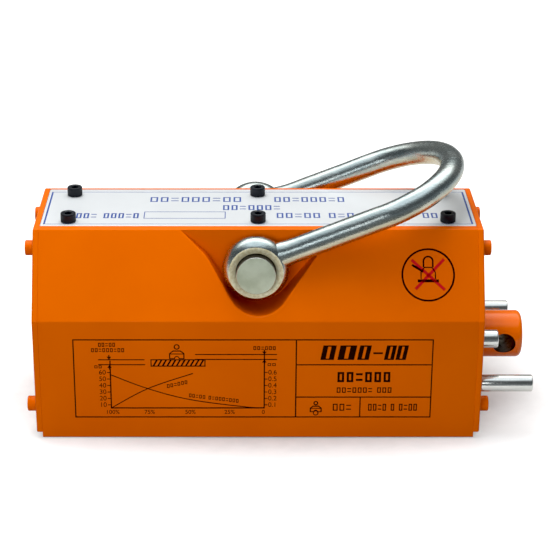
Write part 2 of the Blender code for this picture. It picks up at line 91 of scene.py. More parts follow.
# Rotor shaft and lever hub.
ROTOR_HEIGHT = (ROTOR_LOW.z + ROTOR_HIGH.z) / 2
ROTOR_BORE = 36.0
FLANGE_RADIUS = ROTOR_HIGH.y
FLANGE_THICKNESS = 6.0
BEARING_SEAT_RADIUS = 22.5
BEARING_SEAT_END = 166.2
SHAFT_RADIUS = 17.5
SHAFT_HOLE_START = 164.0     # of the shaft's hole in the right cover
HUB_RADIUS = 20.7
HUB_END = ROTOR_HIGH.x
HUB_EDGE = 4.5
LEVER_PLACE = 216.5
LEVER_HOLE = 9.3
LEVER_LEAN = math.radians(4.0)
THREAD_DEPTH = 1.1
THREAD_PITCH = 2.5
THREAD_REACH = 17.5          # either side of the hub's axis

# Shackle.
LEAN = math.radians(21.8)
SHACKLE_PLACE = (PIN_LOW.x + PIN_HIGH.x) / 2
SHACKLE_HEIGHT = (PIN_LOW.z + PIN_HIGH.z) / 2
PIN_RADIUS = (PIN_HIGH.z - PIN_LOW.z) / 2
PIN_ROUND = 0.5
EYE_HOLE = PIN_RADIUS + 0.45
SHACKLE_SHIFT = 2.7          # towards the rear
EYE_HALF_WIDTH = 10.8
EYE_RIM = 28.2
EYE_SHOULDER = 22.6
ROD_RADIUS = 10.3
BOW_ROOT = 20.0
BOW_STRAIGHT = 115.2
BOW_RADIUS = 66.6            # and half the distance between the eyes
BOW_LIFT = 3.3               # of the rod's axis over the pin's
EYE_DISH = 1.5               # by which the eye's face falls towards its hole
RECESS_TOP = BODY_HEIGHT + 20.0
RECESS_SIDES = (-87.5, 80.2)
RECESS_KNEE = (-42.5, 156.0)
RECESS_FOOT = (-2.6, 91.8)
RECESS_KNEE_RADIUS = 40.0
RECESS_RADIUS = 28.3
RECESS_REACH = 80.0          # no part of it on the slope is farther than this from the middle
RECESS_BASE = 100.0          # nor lower than this
MOUTH_ROUND = 2.0            # rounding of the recess edge

# Screws, pins and print.
SCREW = {"head": 6.5, "shank": 3.9, "height": 7.7, "flats": 6.0}
SCREW_LENGTH = {"label": 10.5, "cover": 16.0}
END_PINS = ("front_stop_pin", "rear_stop_pin", "catch_pin")
INK = 0.08                   # thickness of the print
MARK_WIDTH = 0.72            # of a blank mark, as a share of its pitch
WORD_GAP = 0.7               # between blank words, in marks
FIGURE_HEIGHT = 0.72         # of the typeface's figures, as a share of its size


# Materials.

def node(tree, kind, values=None, links=None, **settings):
    """Add a shader node, set its properties and inputs, and feed inputs from other sockets."""
    made = tree.nodes.new(kind)
    for key, value in settings.items():
        setattr(made, key, value)
    for key, value in (values or {}).items():
        made.inputs[key].default_value = value
    for key, socket in (links or {}).items():
        tree.links.new(socket, made.inputs[key])
    return made


def grain(tree, scale, detail=2.0, stretch=(1.0, 1.0, 1.0)):
    """A noise pattern fixed to the object, with so many cells in a metre."""
    place = node(tree, "ShaderNodeTexCoord").outputs["Object"]
    if stretch != (1.0, 1.0, 1.0):
        place = node(tree, "ShaderNodeMapping", {"Scale": stretch}, {"Vector": place}).outputs[0]
    return node(tree, "ShaderNodeTexNoise", {"Scale": scale, "Detail": detail},
                {"Vector": place}).outputs["Fac"]


def blend(tree, factor, low, high, start=0.35, end=0.65):
    """Turn a pattern into a range of colours."""
    ramp = node(tree, "ShaderNodeValToRGB", links={"Fac": factor})
    for stop, place, colour in zip(ramp.color_ramp.elements, (start, end), (low, high)):
        stop.position = place
        stop.color = (*colour, 1.0)
    return ramp.outputs["Color"]


def rescale(tree, factor, low, high, start=0.3, end=0.7):
    """Turn a pattern into a range of values."""
    return node(tree, "ShaderNodeMapRange", {"From Min": start, "From Max": end, "To Min": low,
                                             "To Max": high}, {"Value": factor}).outputs["Result"]


def mingle(tree, factor, first, second):
    """Mix two colours by a factor."""
    mix = tree.nodes.new("ShaderNodeMixRGB")
    for socket, source in zip(mix.inputs, (factor, first, second)):
        tree.links.new(source, socket)
    return mix.outputs[0]


def surface(name, colours, rough, metallic=0.0, patch=20.0, bumps=(), streak=None, under=None,
            **extra):
    """A finish whose colour and roughness wander, with bumps of (cells per metre, height).

    under is a second pair of colours for the sides that face downwards, a painted reflection of the
    table below.
    """
    made = bpy.data.materials.new(name)
    made.use_nodes = True
    tree = made.node_tree
    shader = tree.nodes["Principled BSDF"]
    shader.inputs["Metallic"].default_value = metallic
    for key, value in extra.items():
        shader.inputs[key.replace("_", " ")].default_value = value
    stretch = streak or (1.0, 1.0, 1.0)
    patches = grain(tree, patch, 4.0, stretch)
    colour = blend(tree, patches, *colours)
    if under:
        # Painted reflection: sides that face downwards blend to the under colours, standing in for
        # the table they mirror.
        normal = node(tree, "ShaderNodeNewGeometry").outputs["Normal"]
        tilt = node(tree, "ShaderNodeSeparateXYZ", links={"Vector": normal}).outputs["Z"]
        colour = mingle(tree, rescale(tree, tilt, 1.0, 0.0, -0.35, 0.25), colour,
                        blend(tree, patches, *under))
    tree.links.new(colour, shader.inputs["Base Color"])
    fine = grain(tree, patch * 7, 3.0, stretch)
    tree.links.new(rescale(tree, fine, *rough), shader.inputs["Roughness"])
    normal = None
    for scale, height in bumps:
        links = {"Height": grain(tree, scale, 3.0, stretch)}
        if normal:
            links["Normal"] = normal
        normal = node(tree, "ShaderNodeBump", {"Strength": 1.0, "Distance": height},
                      links).outputs["Normal"]
    if normal:
        tree.links.new(normal, shader.inputs["Normal"])
    return made


PAINT_FLOW = ((900.0, 0.000012), (90.0, 0.00003))
PAINT = surface("orange_paint", ((0.76, 0.130, 0.0005), (0.82, 0.147, 0.0008)), (0.30, 0.40),
                patch=9.0, bumps=PAINT_FLOW, Specular_IOR_Level=0.12)
# A darker copy of the orange paint for the recess's floor and side walls: painted shade under the
# shackle's eyes.
RECESS_SHADE_PAINT = surface("recess_painted_shade", ((0.55, 0.082, 0.0005), (0.60, 0.092, 0.0008)),
                       (0.34, 0.44), patch=9.0, bumps=PAINT_FLOW, Specular_IOR_Level=0.08)
# A glossier copy of the paint for the hub, its colour lighter than the body's paint as painted
# light on the hub.
HUB_LIT_PAINT = surface("hub_paint_painted_light", ((0.94, 0.168, 0.0005), (1.0, 0.185, 0.0008)), (0.08, 0.12),
                    patch=9.0, bumps=PAINT_FLOW, Specular_IOR_Level=0.32)
# The zinc's under colours are beige, a painted reflection of the table on the shackle's downward
# sides.
ZINC = surface("zinc", ((0.45, 0.54, 0.55), (0.60, 0.67, 0.66)), (0.18, 0.30), 1.0, patch=90.0,
               bumps=((1200.0, 0.00008), (420.0, 0.00008)), streak=(0.3, 1.0, 1.0),
               under=((0.50, 0.45, 0.30), (0.67, 0.61, 0.44)))
ROUGH_ZINC = surface("rough_zinc", ((0.78, 0.70, 0.42), (1.0, 0.96, 0.70)), (0.40, 0.60), 0.3,
                     patch=420.0, bumps=((1400.0, 0.00010), (420.0, 0.00020)))
PIN_ZINC = surface("pin_zinc", ((0.65, 0.68, 0.67), (0.75, 0.77, 0.75)), (0.12, 0.24), 1.0,
                   patch=40.0, bumps=((1500.0, 0.00001), (130.0, 0.00006)))
PIN_FACE = surface("pin_face", ((0.52, 0.58, 0.43), (0.70, 0.77, 0.61)), (0.38, 0.50), 0.45,
                   patch=60.0, bumps=((1200.0, 0.00002),))
# The shackle pin's cylindrical side is painted near-black: painted shade and reflection of the dark
# eye around it.
PIN_SIDE_SHADE = surface("pin_side_painted_shade", ((0.020, 0.018, 0.015), (0.050, 0.045, 0.036)), (0.35, 0.50), 0.6,
                   patch=60.0, bumps=((1200.0, 0.00002),))
BLACK = surface("black_oxide", ((0.009, 0.011, 0.015), (0.017, 0.020, 0.026)), (0.30, 0.42), 0.0,
                patch=150.0, bumps=((2500.0, 0.00001),), Specular_IOR_Level=0.22)
LABEL = surface("label_white", ((0.61, 0.637, 0.655), (0.645, 0.672, 0.69)), (0.28, 0.36),
                patch=14.0, bumps=((500.0, 0.000006),), Coat_Weight=0.2, Coat_Roughness=0.12)
STEEL = surface("bare_steel", ((0.44, 0.44, 0.43), (0.56, 0.56, 0.55)), (0.28, 0.42), 1.0,
                patch=120.0, bumps=((900.0, 0.00002),), streak=(0.05, 1.0, 1.0))
THREAD = surface("thread_steel", ((0.10, 0.085, 0.07), (0.30, 0.27, 0.23)), (0.25, 0.5), 1.0,
                 patch=200.0, bumps=((900.0, 0.00004),))
BRASS = surface("brass", ((0.62, 0.43, 0.16), (0.72, 0.52, 0.22)), (0.26, 0.36), 1.0, patch=80.0,
                bumps=((900.0, 0.00002),), streak=(0.05, 1.0, 1.0))
NICKEL = surface("magnet_nickel", ((0.60, 0.57, 0.52), (0.69, 0.66, 0.61)), (0.16, 0.26), 1.0,
                 patch=90.0, bumps=((1200.0, 0.00001),))
BEARING = surface("bearing_steel", ((0.54, 0.54, 0.56), (0.62, 0.62, 0.64)), (0.10, 0.2), 1.0,
                  patch=100.0, bumps=((1500.0, 0.000005),))
BLACK_INK = surface("black_ink", ((0.009, 0.002, 0.0005), (0.018, 0.003, 0.001)), (0.34, 0.44),
                    patch=200.0, Specular_IOR_Level=0.1)
BLUE_INK = surface("blue_ink", ((0.015, 0.055, 0.27), (0.025, 0.075, 0.32)), (0.32, 0.4),
                   patch=200.0)
RED_INK = surface("red_ink", ((0.50, 0.0, 0.004), (0.60, 0.002, 0.008)), (0.34, 0.44), patch=200.0)
CARRIED = {"orange_paint": PAINT, "bare_steel": STEEL, "zinc": ZINC, "black_oxide": BLACK,
           "label_white": LABEL, "magnet_nickel": NICKEL, "brass": BRASS, "bearing_steel": BEARING}


# Outlines, as lists of (first, second) coordinates in a plane.

def arc(centre, radius, start, end, steps):
    """Points on a circle from one angle to another, in degrees, ends included."""
    turns = [math.radians(start + (end - start) * step / steps) for step in range(steps + 1)]
    return [(centre[0] + radius * math.cos(t), centre[1] + radius * math.sin(t)) for t in turns]


def rounded(corner, before, after, radius, steps=4):
    """The arc that rounds one corner of an outline, between its neighbours."""
    here = Vector(corner)
    back = (Vector(before) - here).normalized()
    forth = (Vector(after) - here).normalized()
    half = back.angle(forth) / 2
    centre = here + (back + forth).normalized() * (radius / math.sin(half))
    first = here + back * (radius / math.tan(half)) - centre
    last = here + forth * (radius / math.tan(half)) - centre
    return [tuple(centre + first.lerp(last, step / steps).normalized() * radius)
            for step in range(steps + 1)]


def soften(corners, radii, steps=4):
    """Round the corners of an outline; a radius of 0 keeps one sharp."""
    points = []
    for index, (corner, radius) in enumerate(zip(corners, radii)):
        if radius:
            after = corners[(index + 1) % len(corners)]
            points += rounded(corner, corners[index - 1], after, radius, steps)
        else:
            points.append(corner)
    return points


def groove_height(y):
    """Height of the V-groove along the underside."""
    return GROOVE_HEIGHT * (1 - abs(y) / GROOVE_HALF_WIDTH)


def pole_outline(side):
    """Cross-section of one pole, in Y and Z; side is -1 for the front pole and 1 for the rear."""
    label = LABEL_EDGE[side] + LABEL_GAP
    corners = [(GROOVE_HALF_WIDTH, 0.0), (HALF_WIDTH, 0.0), (HALF_WIDTH, RIDGE_HEIGHT),
               (TOP_HALF_WIDTH, BODY_HEIGHT), (label, BODY_HEIGHT),
               (label, LABEL_FLOOR), (SLOT_HALF_WIDTH, LABEL_FLOOR),
               (SLOT_HALF_WIDTH, SHOULDER_HEIGHT), (SHOULDER_HALF_WIDTH, SHOULDER_HEIGHT)]
    outline = soften(corners, (0, EDGE_RADIUS, RIDGE_RADIUS, EDGE_RADIUS, 0, 0, 0, 0, 0), 6)
    upper = math.degrees(math.acos(SHOULDER_HALF_WIDTH / ROTOR_BORE))
    lower = -math.degrees(math.acos(SPACER_HALF_WIDTH / ROTOR_BORE))
    outline += arc((0.0, ROTOR_HEIGHT), ROTOR_BORE, upper, lower, 32)
    outline += [(SPACER_HALF_WIDTH, groove_height(SPACER_HALF_WIDTH))]
    return [(side * y, z) for y, z in outline]


def cover_outline():
    """The body's own outline, raised off the pole faces and notched over the groove."""
    right = [(HALF_WIDTH, COVER_LIFT), (HALF_WIDTH, RIDGE_HEIGHT), (TOP_HALF_WIDTH, BODY_HEIGHT)]
    left = [(-y, z) for y, z in reversed(right)]
    notch = [(-NOTCH_HALF_WIDTH, COVER_LIFT), (0.0, NOTCH_PEAK), (NOTCH_HALF_WIDTH, COVER_LIFT)]
    radii = (EDGE_RADIUS, RIDGE_RADIUS, EDGE_RADIUS)
    return soften(right + left + notch, radii + radii + (0, 0, 0), 6)


def recess_outline():
    """The V with a round bottom, in X and Z, that each shackle eye sits in."""
    left, right = RECESS_SIDES
    corners = [(right, RECESS_TOP), (left, RECESS_TOP), RECESS_KNEE, RECESS_FOOT]
    return soften(corners, (0, 0, RECESS_KNEE_RADIUS, RECESS_RADIUS), 24)


# Solids, as bmeshes in millimetres.

AXES = {
    "X": lambda along, first, second: Vector((along, first, second)),
    "Y": lambda along, first, second: Vector((first, along, second)),
    "Z": lambda along, first, second: Vector((first, second, along)),
}


def prism(outline, low, high, axis, shape=None):
    """Extrude a closed outline along an axis; adds to shape when one is given."""
    shape = shape or bmesh.new()
    place = AXES[axis]
    face = shape.faces.new([shape.verts.new(place(low, *point)) for point in outline])
    extruded = bmesh.ops.extrude_face_region(shape, geom=[face])["geom"]
    verts = [item for item in extruded if isinstance(item, bmesh.types.BMVert)]
    bmesh.ops.translate(shape, verts=verts, vec=place(high - low, 0.0, 0.0))
    bmesh.ops.recalc_face_normals(shape, faces=shape.faces)
    return shape


def hexagon(flats):
    """Radius of a hexagonal socket at an angle."""
    pitch = math.pi / 3
    return lambda angle: flats / 2 / math.cos((angle + pitch / 2) % pitch - pitch / 2)


def knurl(radius, depth=0.22, ridges=36):
    """Radius of a knurled cylinder at an angle."""
    return lambda angle: radius - depth * (0.5 - 0.5 * math.cos(ridges * angle))


def turned(rings, axis, centre, sides, loop=False, shape=None):
    """Skin a row of rings about an axis, each (place, radius); a radius may depend on the angle.

    The ends are closed by flat faces, or joined to each other when loop is set.
    """
    shape = shape or bmesh.new()
    place = AXES[axis]
    rows = []
    for along, size in rings:
        row = []
        for index in range(sides):
            angle = 2 * math.pi * index / sides
            radius = size(angle) if callable(size) else size
            spot = (centre[0] + radius * math.cos(angle), centre[1] + radius * math.sin(angle))
            row.append(shape.verts.new(place(along, *spot)))
        rows.append(row)
    skin(shape, rows, loop)
    return shape


def skin(shape, rows, loop=False):
    """Join rows of vertices with faces, and close the ends unless they loop."""
    pairs = list(zip(rows, rows[1:]))
    if loop:
        pairs.append((rows[-1], rows[0]))
    else:
        shape.faces.new(rows[0])
        shape.faces.new(rows[-1])
    for low, high in pairs:
        for index in range(len(low)):
            after = (index + 1) % len(low)
            shape.faces.new((low[index], low[after], high[after], high[index]))
    bmesh.ops.recalc_face_normals(shape, faces=shape.faces)


def cylinder(axis, centre, radius, low, high, sides=48, shape=None):
    """A plain cylinder; centre is given in the plane across the axis."""
    return turned([(low, radius), (high, radius)], axis, centre, sides, shape=shape)


def carve(shape, other, operation="DIFFERENCE"):
    """Cut or join two solids with Blender's exact boolean."""
    items = []
    for part in (shape, other):
        mesh = bpy.data.meshes.new("part")
        part.to_mesh(mesh)
        part.free()
        item = bpy.data.objects.new("part", mesh)
        bpy.context.scene.collection.objects.link(item)
        items.append(item)
    modifier = items[0].modifiers.new("carve", "BOOLEAN")
    modifier.operation = operation
    modifier.solver = "EXACT"
    modifier.object = items[1]
    made = bmesh.new()
    made.from_object(items[0], bpy.context.evaluated_depsgraph_get())
    for item in items:
        bpy.data.meshes.remove(item.data)
    return made


def piece(name, shape, materials, body, replaces=(), pick=None, sharp=32):
    """Turn a bmesh into a named piece that rides on a body.

    pick gives the number of a face's material; edges turn sharp above an angle in degrees.
    """
    bmesh.ops.remove_doubles(shape, verts=shape.verts, dist=0.0005)
    if pick:
        for face in shape.faces:
            face.material_index = pick(face.calc_center_median(), face.normal)
    bmesh.ops.scale(shape, verts=shape.verts, vec=(MM, MM, MM))
    bmesh.ops.translate(shape, verts=shape.verts, vec=(MIDDLE, 0.0, 0.0))
    mesh = bpy.data.meshes.new(name)
    shape.to_mesh(mesh)
    shape.free()
    for material in materials:
        mesh.materials.append(material)
    mesh.shade_smooth()
    mesh.set_sharp_from_angle(angle=math.radians(sharp))
    item = bpy.data.objects.new(name, mesh)
    bpy.context.scene.collection.objects.link(item)
    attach(item, body)
    if replaces:
        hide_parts(*replaces)


# Body, covers and label.

def middle_of(node):
    """Middle of a CAD node, in millimetres."""
    low, high = span(node)
    return (low + high) / 2


def middle_of_edge(edge):
    """Middle of an edge of a bmesh."""
    return (edge.verts[0].co + edge.verts[1].co) / 2


def screw_holes():
    """One cutter for the holes of the screws and pins in the poles, covers and label."""
    shape = bmesh.new()
    past = 5.0
    radius = SCREW["shank"] + 0.4
    for number in range(1, 7):
        spot = middle_of(f"label_screw_{number}")
        foot = BODY_HEIGHT - SCREW_LENGTH["label"] - 1.0
        cylinder("Z", (spot.x, spot.y), radius, foot, BODY_HEIGHT + past, 24, shape)
    for number in range(1, 9):
        spot = middle_of(f"cover_screw_{number}")
        side = math.copysign(1.0, spot.x)
        foot = COVER_FACE - SCREW_LENGTH["cover"] - 1.0
        ends = sorted((side * foot, side * (COVER_FACE + past)))
        cylinder("X", (spot.y, spot.z), radius, *ends, 24, shape)
    for name in END_PINS:
        low, high = span(name)
        spot = middle_of(name)
        radius = (high.z - low.z) / 2 + 0.3
        cylinder("X", (spot.y, spot.z), radius, low.x - 1.0, COVER_FACE + past, 48, shape)
    return shape


def in_recess(spot):
    """Whether a point of a pole is in the stretch of the slope that the recess cuts."""
    return (abs(spot.y) > TOP_HALF_WIDTH + 0.5 and abs(spot.x) < RECESS_REACH
            and spot.z > RECESS_BASE)


def part_of_pole(centre, normal):
    """Paint, bare steel in the groove, or in the recess a darker copy of the paint as painted
    shade.
    """
    if normal.z < -0.5 and centre.z < GROOVE_HEIGHT + 1:
        return 1
    # The recess's floor and side walls take the darker paint, painted shade.
    return 2 if in_recess(centre) and abs(normal.y) < 0.3 else 0


def build_poles():
    """The two halves of the body, cut for the label, the shackle's eyes, the pins and screws."""
    for name, side in (("front_pole", -1), ("rear_pole", 1)):
        pole = prism(pole_outline(side), -HALF_LENGTH, HALF_LENGTH, "X")
        seam = [edge for edge in pole.edges if abs(middle_of_edge(edge).x) > HALF_LENGTH - 0.01
                and abs(middle_of_edge(edge).y) > LABEL_EDGE[side] + 0.5]
        bmesh.ops.bevel(pole, geom=seam, offset=SEAM, segments=2, profile=0.5, affect="EDGES")
        ends = sorted((side * TOP_HALF_WIDTH, side * (HALF_WIDTH + 12.0)))
        pole = carve(pole, prism(recess_outline(), *ends, "Y"))
        soften_mouth(pole)
        hole = cylinder("Y", (SHACKLE_PLACE, SHACKLE_HEIGHT), EYE_HOLE, -95.0, 95.0, 96)
        pole = carve(pole, hole)
        pole = carve(pole, screw_holes())
        piece(name + "_painted", pole, (PAINT, STEEL, RECESS_SHADE_PAINT), "body",
              (name,), part_of_pole)


def soften_mouth(pole):
    """Round the edges where the recess breaks through the slope."""
    edges = [edge for edge in pole.edges if edge.calc_face_angle(0.0) > math.radians(20)
             and in_recess(middle_of_edge(edge))
             and all(abs(vert.co.x) < RECESS_REACH for vert in edge.verts)]
    bmesh.ops.bevel(pole, geom=edges, offset=MOUTH_ROUND, segments=5, profile=0.5,
                    affect="EDGES")


def build_covers():
    """The end plates; the right one has a hole for the shaft."""
    for name, side in (("left_cover", -1), ("right_cover", 1)):
        ends = sorted((side * HALF_LENGTH, side * COVER_FACE))
        cover = prism(cover_outline(), *ends, "X")
        for face, size in ((COVER_FACE, COVER_ROUND), (HALF_LENGTH, SEAM)):
            rim = [edge for edge in cover.edges
                   if all(abs(vert.co.x * side - face) < 0.01 for vert in edge.verts)]
            bmesh.ops.bevel(cover, geom=rim, offset=size, segments=4, profile=0.5, affect="EDGES")
        cover = carve(cover, screw_holes())
        if side == 1:
            bore = cylinder("X", (0.0, ROTOR_HEIGHT), SHAFT_RADIUS + 0.8, SHAFT_HOLE_START,
                            COVER_FACE + 5.0, 96)
            cover = carve(cover, bore)
        piece(name + "_painted", cover, (PAINT,), "body", (name,))


def build_label():
    """The plate in the top's recess, with its upper edge eased."""
    corners = [(-LABEL_HIGH.x, LABEL_LOW.y), (LABEL_HIGH.x, LABEL_LOW.y),
               (LABEL_HIGH.x, LABEL_HIGH.y), (-LABEL_HIGH.x, LABEL_HIGH.y)]
    plate = prism(soften(corners, (1.5,) * 4), LABEL_LOW.z, LABEL_HIGH.z, "Z")
    rim = [edge for edge in plate.edges
           if all(abs(vert.co.z - LABEL_HIGH.z) < 0.01 for vert in edge.verts)]
    bmesh.ops.bevel(plate, geom=rim, offset=0.4, segments=3, profile=0.5, affect="EDGES")
    plate = carve(plate, screw_holes())
    piece("label_plate_printed", plate, (LABEL,), "body", ("label_plate",))


# Screws and pins.

def rounded_end(end, radius, edge, steps=6):
    """Rings, as (place, radius), that round the end of a turned piece."""
    return [(end - edge + along, radius - edge + rise)
            for along, rise in arc((0.0, 0.0), edge, 90, 0, steps)]


def screw_head():
    """Rings of a socket-head screw above its seat, from the shank to the bottom of the socket."""
    head, top = SCREW["head"], SCREW["height"]
    socket = hexagon(SCREW["flats"])
    rings = [(0.0, SCREW["shank"]), (0.0, head - 0.5), (0.15, head - 0.2), (0.4, head)]
    rings += [(0.6, knurl(head)), (top - 2.2, knurl(head)), (top - 1.9, head)]
    rings += rounded_end(top, head, 0.9)
    return rings + [(top, SCREW["flats"] / 2 + 0.9), (top - 0.5, socket), (top / 2, socket),
                    (top / 2 - 0.8, 0.4)]


def build_screws():
    """The black screws in the label and the painted ones in the covers."""
    shank, top = SCREW["shank"], SCREW["height"]
    for count, kind, material, slot in ((6, "label", BLACK, "black_oxide"),
                                        (8, "cover", PAINT, "orange_paint")):
        length = SCREW_LENGTH[kind]
        for number in range(1, count + 1):
            name = f"{kind}_screw_{number}"
            low, high = span(name)
            centre = middle_of(name)
            if kind == "label":
                axis, spot, seat, way = "Z", (centre.x, centre.y), high.z - top, 1
            elif centre.x < 0:
                axis, spot, seat, way = "X", (centre.y, centre.z), low.x + top, -1
            else:
                axis, spot, seat, way = "X", (centre.y, centre.z), high.x - top, 1
            rings = [(-length, shank - 0.6), (-(length - 0.6), shank)] + screw_head()
            placed = [(seat + way * along, size) for along, size in rings]
            solid = turned(placed, axis, spot, 72)
            piece(name + "_detailed", solid, (material,), "body", (name,), sharp=40)


def part_of_pin(centre, normal):
    """The rounded edge, the flat face, or the side of the shackle's pin, painted near-black as
    shade.
    """
    if abs(normal.y) > 0.8:
        return 1
    return 2 if abs(normal.y) < 0.1 else 0


def build_pins():
    """The plated pins in the right end, and the pin that carries the shackle."""
    for name in END_PINS:
        low, high = span(name)
        centre = middle_of(name)
        radius = (high.z - low.z) / 2
        rings = [(low.x, radius - 1.0), (low.x + 1.0, radius)] + rounded_end(high.x, radius, 1.2)
        piece(name + "_plated", turned(rings, "X", (centre.y, centre.z), 96), (PIN_ZINC,), "body",
              (name,), sharp=50)
    rear = rounded_end(PIN_HIGH.y, PIN_RADIUS, PIN_ROUND)
    front = [(PIN_LOW.y + PIN_HIGH.y - along, size) for along, size in reversed(rear)]
    solid = turned(front + rear, "Y", (SHACKLE_PLACE, SHACKLE_HEIGHT), 128)
    piece("shackle_pin_plated", solid, (PIN_ZINC, PIN_FACE, PIN_SIDE_SHADE), "body",
          ("shackle_pin",), part_of_pin, sharp=50)


# Lever shaft.

def threaded_hole():
    """Cutter for the hub's cross hole: countersunk ends and grooves for the thread."""
    entry = [(HUB_RADIUS + 4.0, LEVER_HOLE + 1.4), (HUB_RADIUS, LEVER_HOLE + 0.7),
             (THREAD_REACH + 0.5, LEVER_HOLE)]
    rings = [(-place, radius) for place, radius in entry]
    for step in range(int(2 * THREAD_REACH / THREAD_PITCH)):
        place = -THREAD_REACH + step * THREAD_PITCH
        rings += [(place, LEVER_HOLE), (place + 0.3 * THREAD_PITCH, LEVER_HOLE),
                  (place + 0.65 * THREAD_PITCH, LEVER_HOLE + THREAD_DEPTH)]
    rings += reversed(entry)
    hole = turned(rings, "Y", (LEVER_PLACE, 0.0), 96)
    hole.transform(Matrix.Translation((0.0, 0.0, ROTOR_HEIGHT))
                   @ Matrix.Rotation(LEVER_LEAN, 4, "X"))
    return hole


def threaded(centre, normal):
    """Whether a face of the hub is inside its cross hole."""
    near = math.hypot(centre.x - LEVER_PLACE, centre.z - ROTOR_HEIGHT) < LEVER_HOLE + 2.5
    return near and math.hypot(centre.y, centre.z - ROTOR_HEIGHT) < HUB_RADIUS - 0.1


def build_lever_shaft():
    """Flange, bearing seat, shaft and hub, turned in one piece."""
    flange_face = ROTOR_LOW.x + FLANGE_THICKNESS
    neck = COVER_FACE + 0.3
    rings = [(ROTOR_LOW.x, FLANGE_RADIUS), (flange_face, FLANGE_RADIUS),
             (flange_face, BEARING_SEAT_RADIUS), (BEARING_SEAT_END, BEARING_SEAT_RADIUS),
             (BEARING_SEAT_END, SHAFT_RADIUS), (neck, SHAFT_RADIUS),
             (neck, HUB_RADIUS - 0.5), (neck + 0.5, HUB_RADIUS)]
    rings += [(neck + 1.5 * step, HUB_RADIUS) for step in range(1, 27)]
    rings += rounded_end(HUB_END, HUB_RADIUS, HUB_EDGE, 14)
    hub = carve(turned(rings, "X", (0.0, ROTOR_HEIGHT), 128), threaded_hole())
    piece("lever_shaft_painted", hub, (HUB_LIT_PAINT, THREAD), "rotor",
          ("lever_shaft",), threaded)


# Shackle.

def eye_profile():
    """Half section of an eye about the pin axis: slightly dished faces and a rounded rim."""
    bulge = EYE_RIM - EYE_SHOULDER
    half = EYE_HALF_WIDTH
    radius = (half ** 2 + bulge ** 2) / (2 * bulge)
    swing = math.degrees(math.asin(half / radius)) - 1.5
    rim = arc((0.0, EYE_RIM - radius), radius, 90 + swing, 90 - swing, 32)
    face = [(half, EYE_SHOULDER - 0.4), (half - 0.1, EYE_SHOULDER - 1.0),
            (half - EYE_DISH, EYE_HOLE + 0.7), (half - EYE_DISH - 0.7, EYE_HOLE)]
    return [(-place, size) for place, size in reversed(face)] + rim + face


def rod_rows():
    """Centre, direction across and radius along the bow, which flares where it meets the eyes."""
    bend = arc((BOW_STRAIGHT, 0.0), BOW_RADIUS, -90, 90, 120)
    straight = [BOW_ROOT + (BOW_STRAIGHT - BOW_ROOT) * step / 60 for step in range(60)]
    path = [(x, -BOW_RADIUS) for x in straight] + bend
    path += [(x, BOW_RADIUS) for x in reversed(straight)]
    rows = []
    for index, point in enumerate(path):
        before = Vector(path[max(index - 1, 0)])
        after = Vector(path[min(index + 1, len(path) - 1)])
        along = (after - before).normalized()
        across = Vector((-along.y, along.x, 0.0))
        flare = 1.2 * math.exp(-(max(point[0] - 24.0, 0.0) / 7.0) ** 1.5) if point[0] < 90 else 0
        rows.append((Vector((*point, BOW_LIFT)), across, ROD_RADIUS + flare))
    return rows


def build_shackle():
    """Modelled lying level along X, then leaned about the pin axis."""
    shape = bmesh.new()
    rows = []
    for centre, across, radius in rod_rows():
        row = []
        for step in range(72):
            angle = 2 * math.pi * step / 72
            offset = across * math.cos(angle) * ROD_RADIUS
            offset += Vector((0.0, 0.0, 1.0)) * math.sin(angle) * radius
            row.append(shape.verts.new(centre + offset))
        rows.append(row)
    skin(shape, rows)
    for side in (-1, 1):
        profile = [(side * BOW_RADIUS + along, radius) for along, radius in eye_profile()]
        eye = turned(profile, "Y", (0.0, 0.0), 180, loop=True)
        shape = carve(shape, eye, "UNION")
    shape.normal_update()
    for vert in shape.verts:
        if math.hypot(vert.co.x, vert.co.z) > EYE_SHOULDER + 0.5:
            lump = 0.16 * noise.noise(vert.co / 16.0) + 0.04 * noise.noise(vert.co / 5.0)
            vert.co += vert.normal * lump
    turn = Matrix.Rotation(-LEAN, 4, "Y")
    pivot = Vector((SHACKLE_PLACE, SHACKLE_SHIFT, SHACKLE_HEIGHT))
    shape.transform(Matrix.Translation(pivot) @ turn)

    def flat_face(centre, normal):
        away = centre - pivot
        return 1 if math.hypot(away.x, away.z) < EYE_SHOULDER and abs(normal.y) > 0.7 else 0

    piece("shackle_forged", shape, (ZINC, ROUGH_ZINC), "shackle", ("shackle",), flat_face,
          sharp=34)


# Print on the body.

